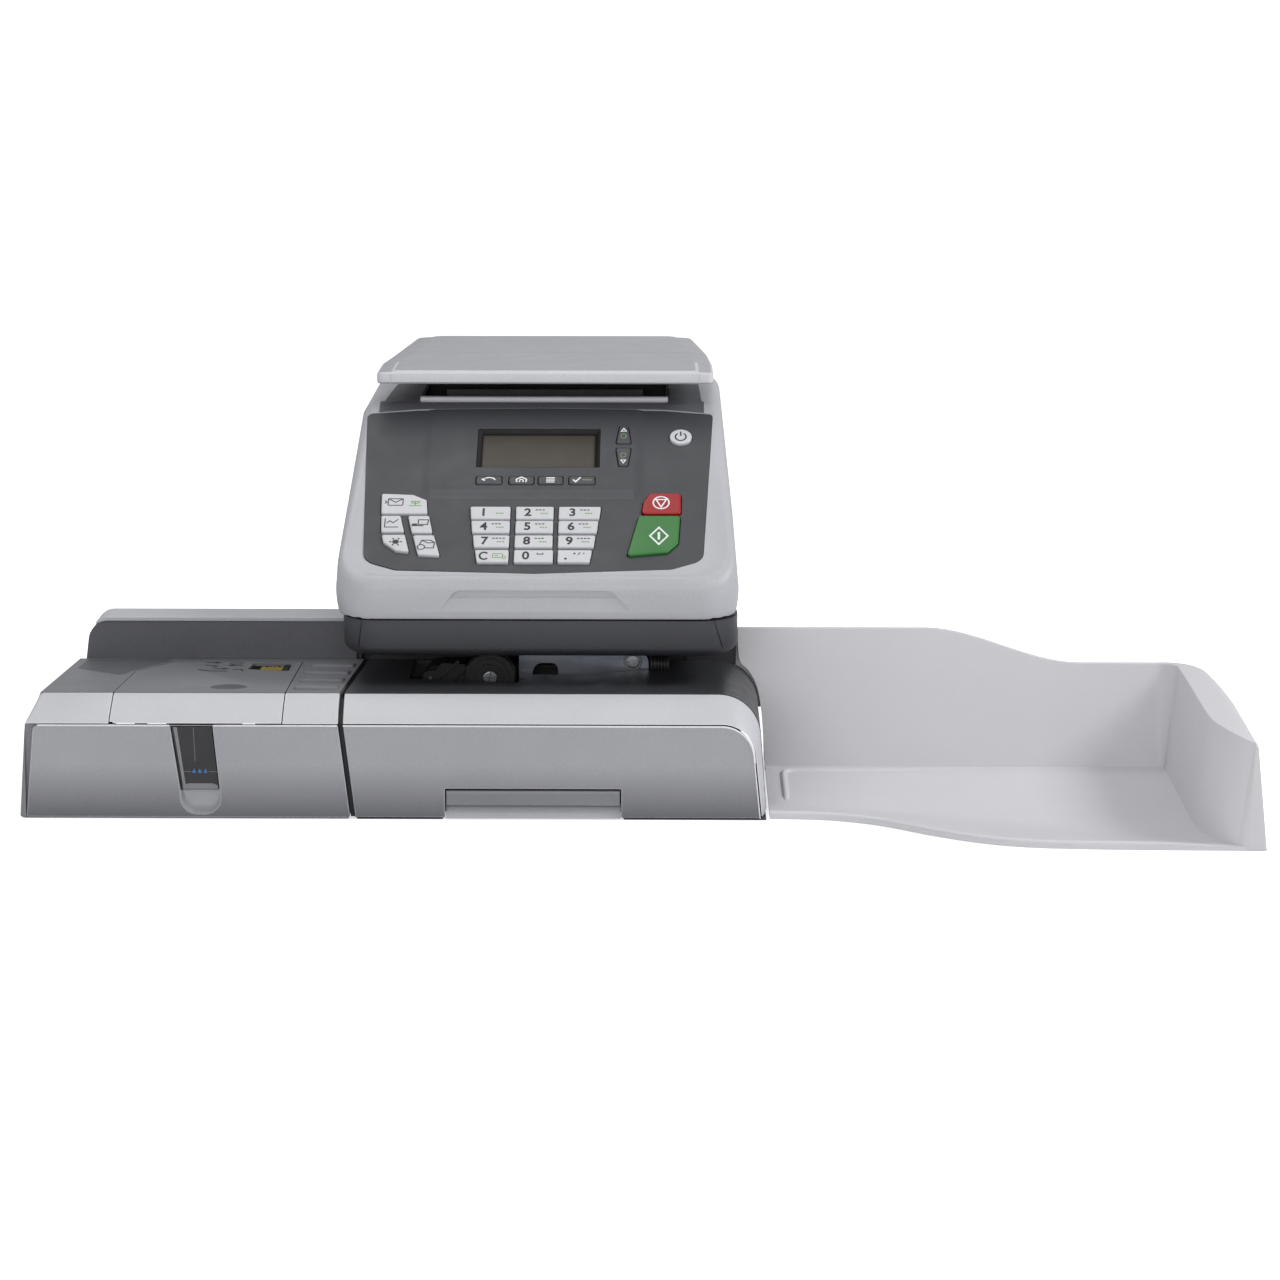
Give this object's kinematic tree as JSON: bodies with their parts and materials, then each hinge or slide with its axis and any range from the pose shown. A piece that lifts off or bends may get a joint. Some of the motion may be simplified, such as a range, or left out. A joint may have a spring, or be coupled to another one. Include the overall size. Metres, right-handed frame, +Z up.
{
  "type": "franking machine",
  "caption": "Desktop franking machine: envelope sealer, mail deck, print head with sloped keypad and display, weighing platform and catch tray.",
  "frame": {"origin": "on the table, under the middle of the base module (its tower floor)", "axes": "+X along the mail path towards the catch tray, +Y towards the back, +Z up; the operator stands at -Y"},
  "size_m": [0.9402, 0.515, 0.315],
  "materials": {
    "housing_light": "fine moulded texture, light grey",
    "fascia_grey": "mid grey with a faint metallic lacquer",
    "panel_dark": "dark grey, fine texture",
    "deck_dark": "dark grey, fine texture",
    "tray_pale": "vacuum-formed sheet, very pale grey",
    "key_white": "satin white",
    "key_red": "satin red",
    "key_green": "satin green",
    "display": "unlit LCD behind a clear window",
    "rubber": "matt black",
    "steel": "machined",
    "motor_metal": "zinc-plated can",
    "tank_clear": "smoked transparent plastic",
    "bristle": "golden nylon bristles"
  },
  "bodies": {
    "base": {"base_case": "deck_dark", "base_fascia": "fascia_grey", "base_trim": "housing_light", "base_deck": "deck_dark", "guide_plate": "steel", "drive_motor": "motor_metal", "registration_wall": "deck_dark", "wall_cap": "housing_light", "sealer_case": "fascia_grey", "sealer_fascia": "fascia_grey", "sealer_deck": "fascia_grey", "moistening_brush": "bristle", "head_base": "deck_dark", "carriage_rail": "steel", "hinge_pin": "steel", "catch_tray": "tray_pale"},
    "release_handle": {"release_handle": "fascia_grey"},
    "transport": {"transport_belt": "rubber"},
    "drive_roller": {"drive_roller": "rubber"},
    "idler_roller": {"idler_roller": "rubber"},
    "roller_arm": {"roller_arm": "deck_dark"},
    "pressure_roller": {"pressure_roller": "rubber"},
    "sealer_cover": {"sealer_cover": "fascia_grey"},
    "water_tank": {"water_tank": "tank_clear"},
    "head": {"head_cover": "housing_light", "control_panel": "panel_dark", "top_deck": "panel_dark", "lcd_glass": "display", "label_tray": "housing_light", "load_cell": "steel"},
    "label_pusher": {"label_pusher": "panel_dark"},
    "weighing_platform": {"weighing_platform": "housing_light"},
    "print_carriage": {"print_carriage": "deck_dark"},
    "ink_cartridge": {"ink_cartridge": "deck_dark"},
    "key_1": {"key_1": "key_white"},
    "key_2": {"key_2": "key_white"},
    "key_3": {"key_3": "key_white"},
    "key_4": {"key_4": "key_white"},
    "key_5": {"key_5": "key_white"},
    "key_6": {"key_6": "key_white"},
    "key_7": {"key_7": "key_white"},
    "key_8": {"key_8": "key_white"},
    "key_9": {"key_9": "key_white"},
    "key_clear": {"key_clear": "key_white"},
    "key_0": {"key_0": "key_white"},
    "key_point": {"key_point": "key_white"},
    "soft_key_back": {"soft_key_back": "panel_dark"},
    "soft_key_home": {"soft_key_home": "panel_dark"},
    "soft_key_list": {"soft_key_list": "panel_dark"},
    "soft_key_accept": {"soft_key_accept": "panel_dark"},
    "arrow_up_key": {"arrow_up_key": "panel_dark"},
    "arrow_down_key": {"arrow_down_key": "panel_dark"},
    "stop_key": {"stop_key": "key_red"},
    "start_key": {"start_key": "key_green"},
    "shortcut_weigh": {"shortcut_weigh": "key_white"},
    "shortcut_graph": {"shortcut_graph": "key_white"},
    "shortcut_rate": {"shortcut_rate": "key_white"},
    "shortcut_job": {"shortcut_job": "key_white"},
    "shortcut_mail": {"shortcut_mail": "key_white"},
    "power_key": {"power_key": "key_white"}
  },
  "joints": [
    {"name": "head_hinge", "type": "hinge", "parent": "base", "child": "head", "pos_m": [-0.0182, 0.205, 0.15], "axis": [-1, 0, 0], "range_deg": [0, 40]},
    {"name": "platform_press", "type": "slide", "parent": "head", "child": "weighing_platform", "axis": [0, 0, -1], "range_m": [0, 0.0006]},
    {"name": "pusher_slide", "type": "slide", "parent": "head", "child": "label_pusher", "axis": [0, -1, 0], "range_m": [0, 0.022]},
    {"name": "handle_hinge", "type": "hinge", "parent": "base", "child": "release_handle", "pos_m": [-0.019, -0.197, 0.0212], "axis": [-1, 0, 0], "range_deg": [0, 35]},
    {"name": "belt_release", "type": "slide", "parent": "base", "child": "transport", "axis": [0, 0, -1], "range_m": [0, 0.006]},
    {"name": "drive_roller_spin", "type": "hinge", "parent": "transport", "child": "drive_roller", "pos_m": [0.062, -0.052, 0.076], "axis": [0, 1, 0], "continuous": true},
    {"name": "idler_roller_spin", "type": "hinge", "parent": "transport", "child": "idler_roller", "pos_m": [-0.098, -0.052, 0.076], "axis": [0, 1, 0], "continuous": true},
    {"name": "roller_arm_swing", "type": "hinge", "parent": "base", "child": "roller_arm", "pos_m": [-0.104, -0.077, 0.082], "axis": [0, 1, 0], "range_deg": [-4, 4]},
    {"name": "pressure_roller_spin", "type": "hinge", "parent": "roller_arm", "child": "pressure_roller", "pos_m": [-0.057, -0.086, 0.086], "axis": [0, 1, 0], "continuous": true},
    {"name": "cover_hinge", "type": "hinge", "parent": "base", "child": "sealer_cover", "pos_m": [-0.276, -0.0465, 0.0862], "axis": [-1, 0, 0], "range_deg": [0, 75]},
    {"name": "tank_slide", "type": "slide", "parent": "base", "child": "water_tank", "axis": [0, -1, 0], "range_m": [0, 0.09]},
    {"name": "carriage_slide", "type": "slide", "parent": "base", "child": "print_carriage", "axis": [0, 1, 0], "range_m": [0, 0.04]},
    {"name": "cartridge_lift", "type": "slide", "parent": "print_carriage", "child": "ink_cartridge", "axis": [0, 0, 1], "range_m": [0, 0.025]},
    {"name": "press_key_1", "type": "slide", "parent": "head", "child": "key_1", "axis": [0, 0.5299, -0.848], "range_m": [0, 0.0015], "stiffness_N_per_m": 300},
    {"name": "press_key_2", "type": "slide", "parent": "head", "child": "key_2", "axis": [0, 0.5299, -0.848], "range_m": [0, 0.0015], "stiffness_N_per_m": 300},
    {"name": "press_key_3", "type": "slide", "parent": "head", "child": "key_3", "axis": [0, 0.5299, -0.848], "range_m": [0, 0.0015], "stiffness_N_per_m": 300},
    {"name": "press_key_4", "type": "slide", "parent": "head", "child": "key_4", "axis": [0, 0.5299, -0.848], "range_m": [0, 0.0015], "stiffness_N_per_m": 300},
    {"name": "press_key_5", "type": "slide", "parent": "head", "child": "key_5", "axis": [0, 0.5299, -0.848], "range_m": [0, 0.0015], "stiffness_N_per_m": 300},
    {"name": "press_key_6", "type": "slide", "parent": "head", "child": "key_6", "axis": [0, 0.5299, -0.848], "range_m": [0, 0.0015], "stiffness_N_per_m": 300},
    {"name": "press_key_7", "type": "slide", "parent": "head", "child": "key_7", "axis": [0, 0.5299, -0.848], "range_m": [0, 0.0015], "stiffness_N_per_m": 300},
    {"name": "press_key_8", "type": "slide", "parent": "head", "child": "key_8", "axis": [0, 0.5299, -0.848], "range_m": [0, 0.0015], "stiffness_N_per_m": 300},
    {"name": "press_key_9", "type": "slide", "parent": "head", "child": "key_9", "axis": [0, 0.5299, -0.848], "range_m": [0, 0.0015], "stiffness_N_per_m": 300},
    {"name": "press_key_clear", "type": "slide", "parent": "head", "child": "key_clear", "axis": [0, 0.5299, -0.848], "range_m": [0, 0.0015], "stiffness_N_per_m": 300},
    {"name": "press_key_0", "type": "slide", "parent": "head", "child": "key_0", "axis": [0, 0.5299, -0.848], "range_m": [0, 0.0015], "stiffness_N_per_m": 300},
    {"name": "press_key_point", "type": "slide", "parent": "head", "child": "key_point", "axis": [0, 0.5299, -0.848], "range_m": [0, 0.0015], "stiffness_N_per_m": 300},
    {"name": "press_soft_key_back", "type": "slide", "parent": "head", "child": "soft_key_back", "axis": [0, 0.5299, -0.848], "range_m": [0, 0.0015], "stiffness_N_per_m": 300},
    {"name": "press_soft_key_home", "type": "slide", "parent": "head", "child": "soft_key_home", "axis": [0, 0.5299, -0.848], "range_m": [0, 0.0015], "stiffness_N_per_m": 300},
    {"name": "press_soft_key_list", "type": "slide", "parent": "head", "child": "soft_key_list", "axis": [0, 0.5299, -0.848], "range_m": [0, 0.0015], "stiffness_N_per_m": 300},
    {"name": "press_soft_key_accept", "type": "slide", "parent": "head", "child": "soft_key_accept", "axis": [0, 0.5299, -0.848], "range_m": [0, 0.0015], "stiffness_N_per_m": 300},
    {"name": "press_arrow_up_key", "type": "slide", "parent": "head", "child": "arrow_up_key", "axis": [0, 0.5299, -0.848], "range_m": [0, 0.0015], "stiffness_N_per_m": 300},
    {"name": "press_arrow_down_key", "type": "slide", "parent": "head", "child": "arrow_down_key", "axis": [0, 0.5299, -0.848], "range_m": [0, 0.0015], "stiffness_N_per_m": 300},
    {"name": "press_stop_key", "type": "slide", "parent": "head", "child": "stop_key", "axis": [0, 0.5299, -0.848], "range_m": [0, 0.0015], "stiffness_N_per_m": 300},
    {"name": "press_start_key", "type": "slide", "parent": "head", "child": "start_key", "axis": [0, 0.5299, -0.848], "range_m": [0, 0.0015], "stiffness_N_per_m": 300},
    {"name": "press_shortcut_weigh", "type": "slide", "parent": "head", "child": "shortcut_weigh", "axis": [0, 0.5299, -0.848], "range_m": [0, 0.0015], "stiffness_N_per_m": 300},
    {"name": "press_shortcut_graph", "type": "slide", "parent": "head", "child": "shortcut_graph", "axis": [0, 0.5299, -0.848], "range_m": [0, 0.0015], "stiffness_N_per_m": 300},
    {"name": "press_shortcut_rate", "type": "slide", "parent": "head", "child": "shortcut_rate", "axis": [0, 0.5299, -0.848], "range_m": [0, 0.0015], "stiffness_N_per_m": 300},
    {"name": "press_shortcut_job", "type": "slide", "parent": "head", "child": "shortcut_job", "axis": [0, 0.5299, -0.848], "range_m": [0, 0.0015], "stiffness_N_per_m": 300},
    {"name": "press_shortcut_mail", "type": "slide", "parent": "head", "child": "shortcut_mail", "axis": [0, 0.5299, -0.848], "range_m": [0, 0.0015], "stiffness_N_per_m": 300},
    {"name": "press_power_key", "type": "slide", "parent": "head", "child": "power_key", "axis": [0, 0.5299, -0.848], "range_m": [0, 0.0015], "stiffness_N_per_m": 300}
  ],
  "couplings": [
    {"joint": "handle_hinge", "follows": "belt_release", "rad_per_m": 101.7},
    {"joint": "idler_roller_spin", "follows": "drive_roller_spin", "ratio": 1}
  ]
}
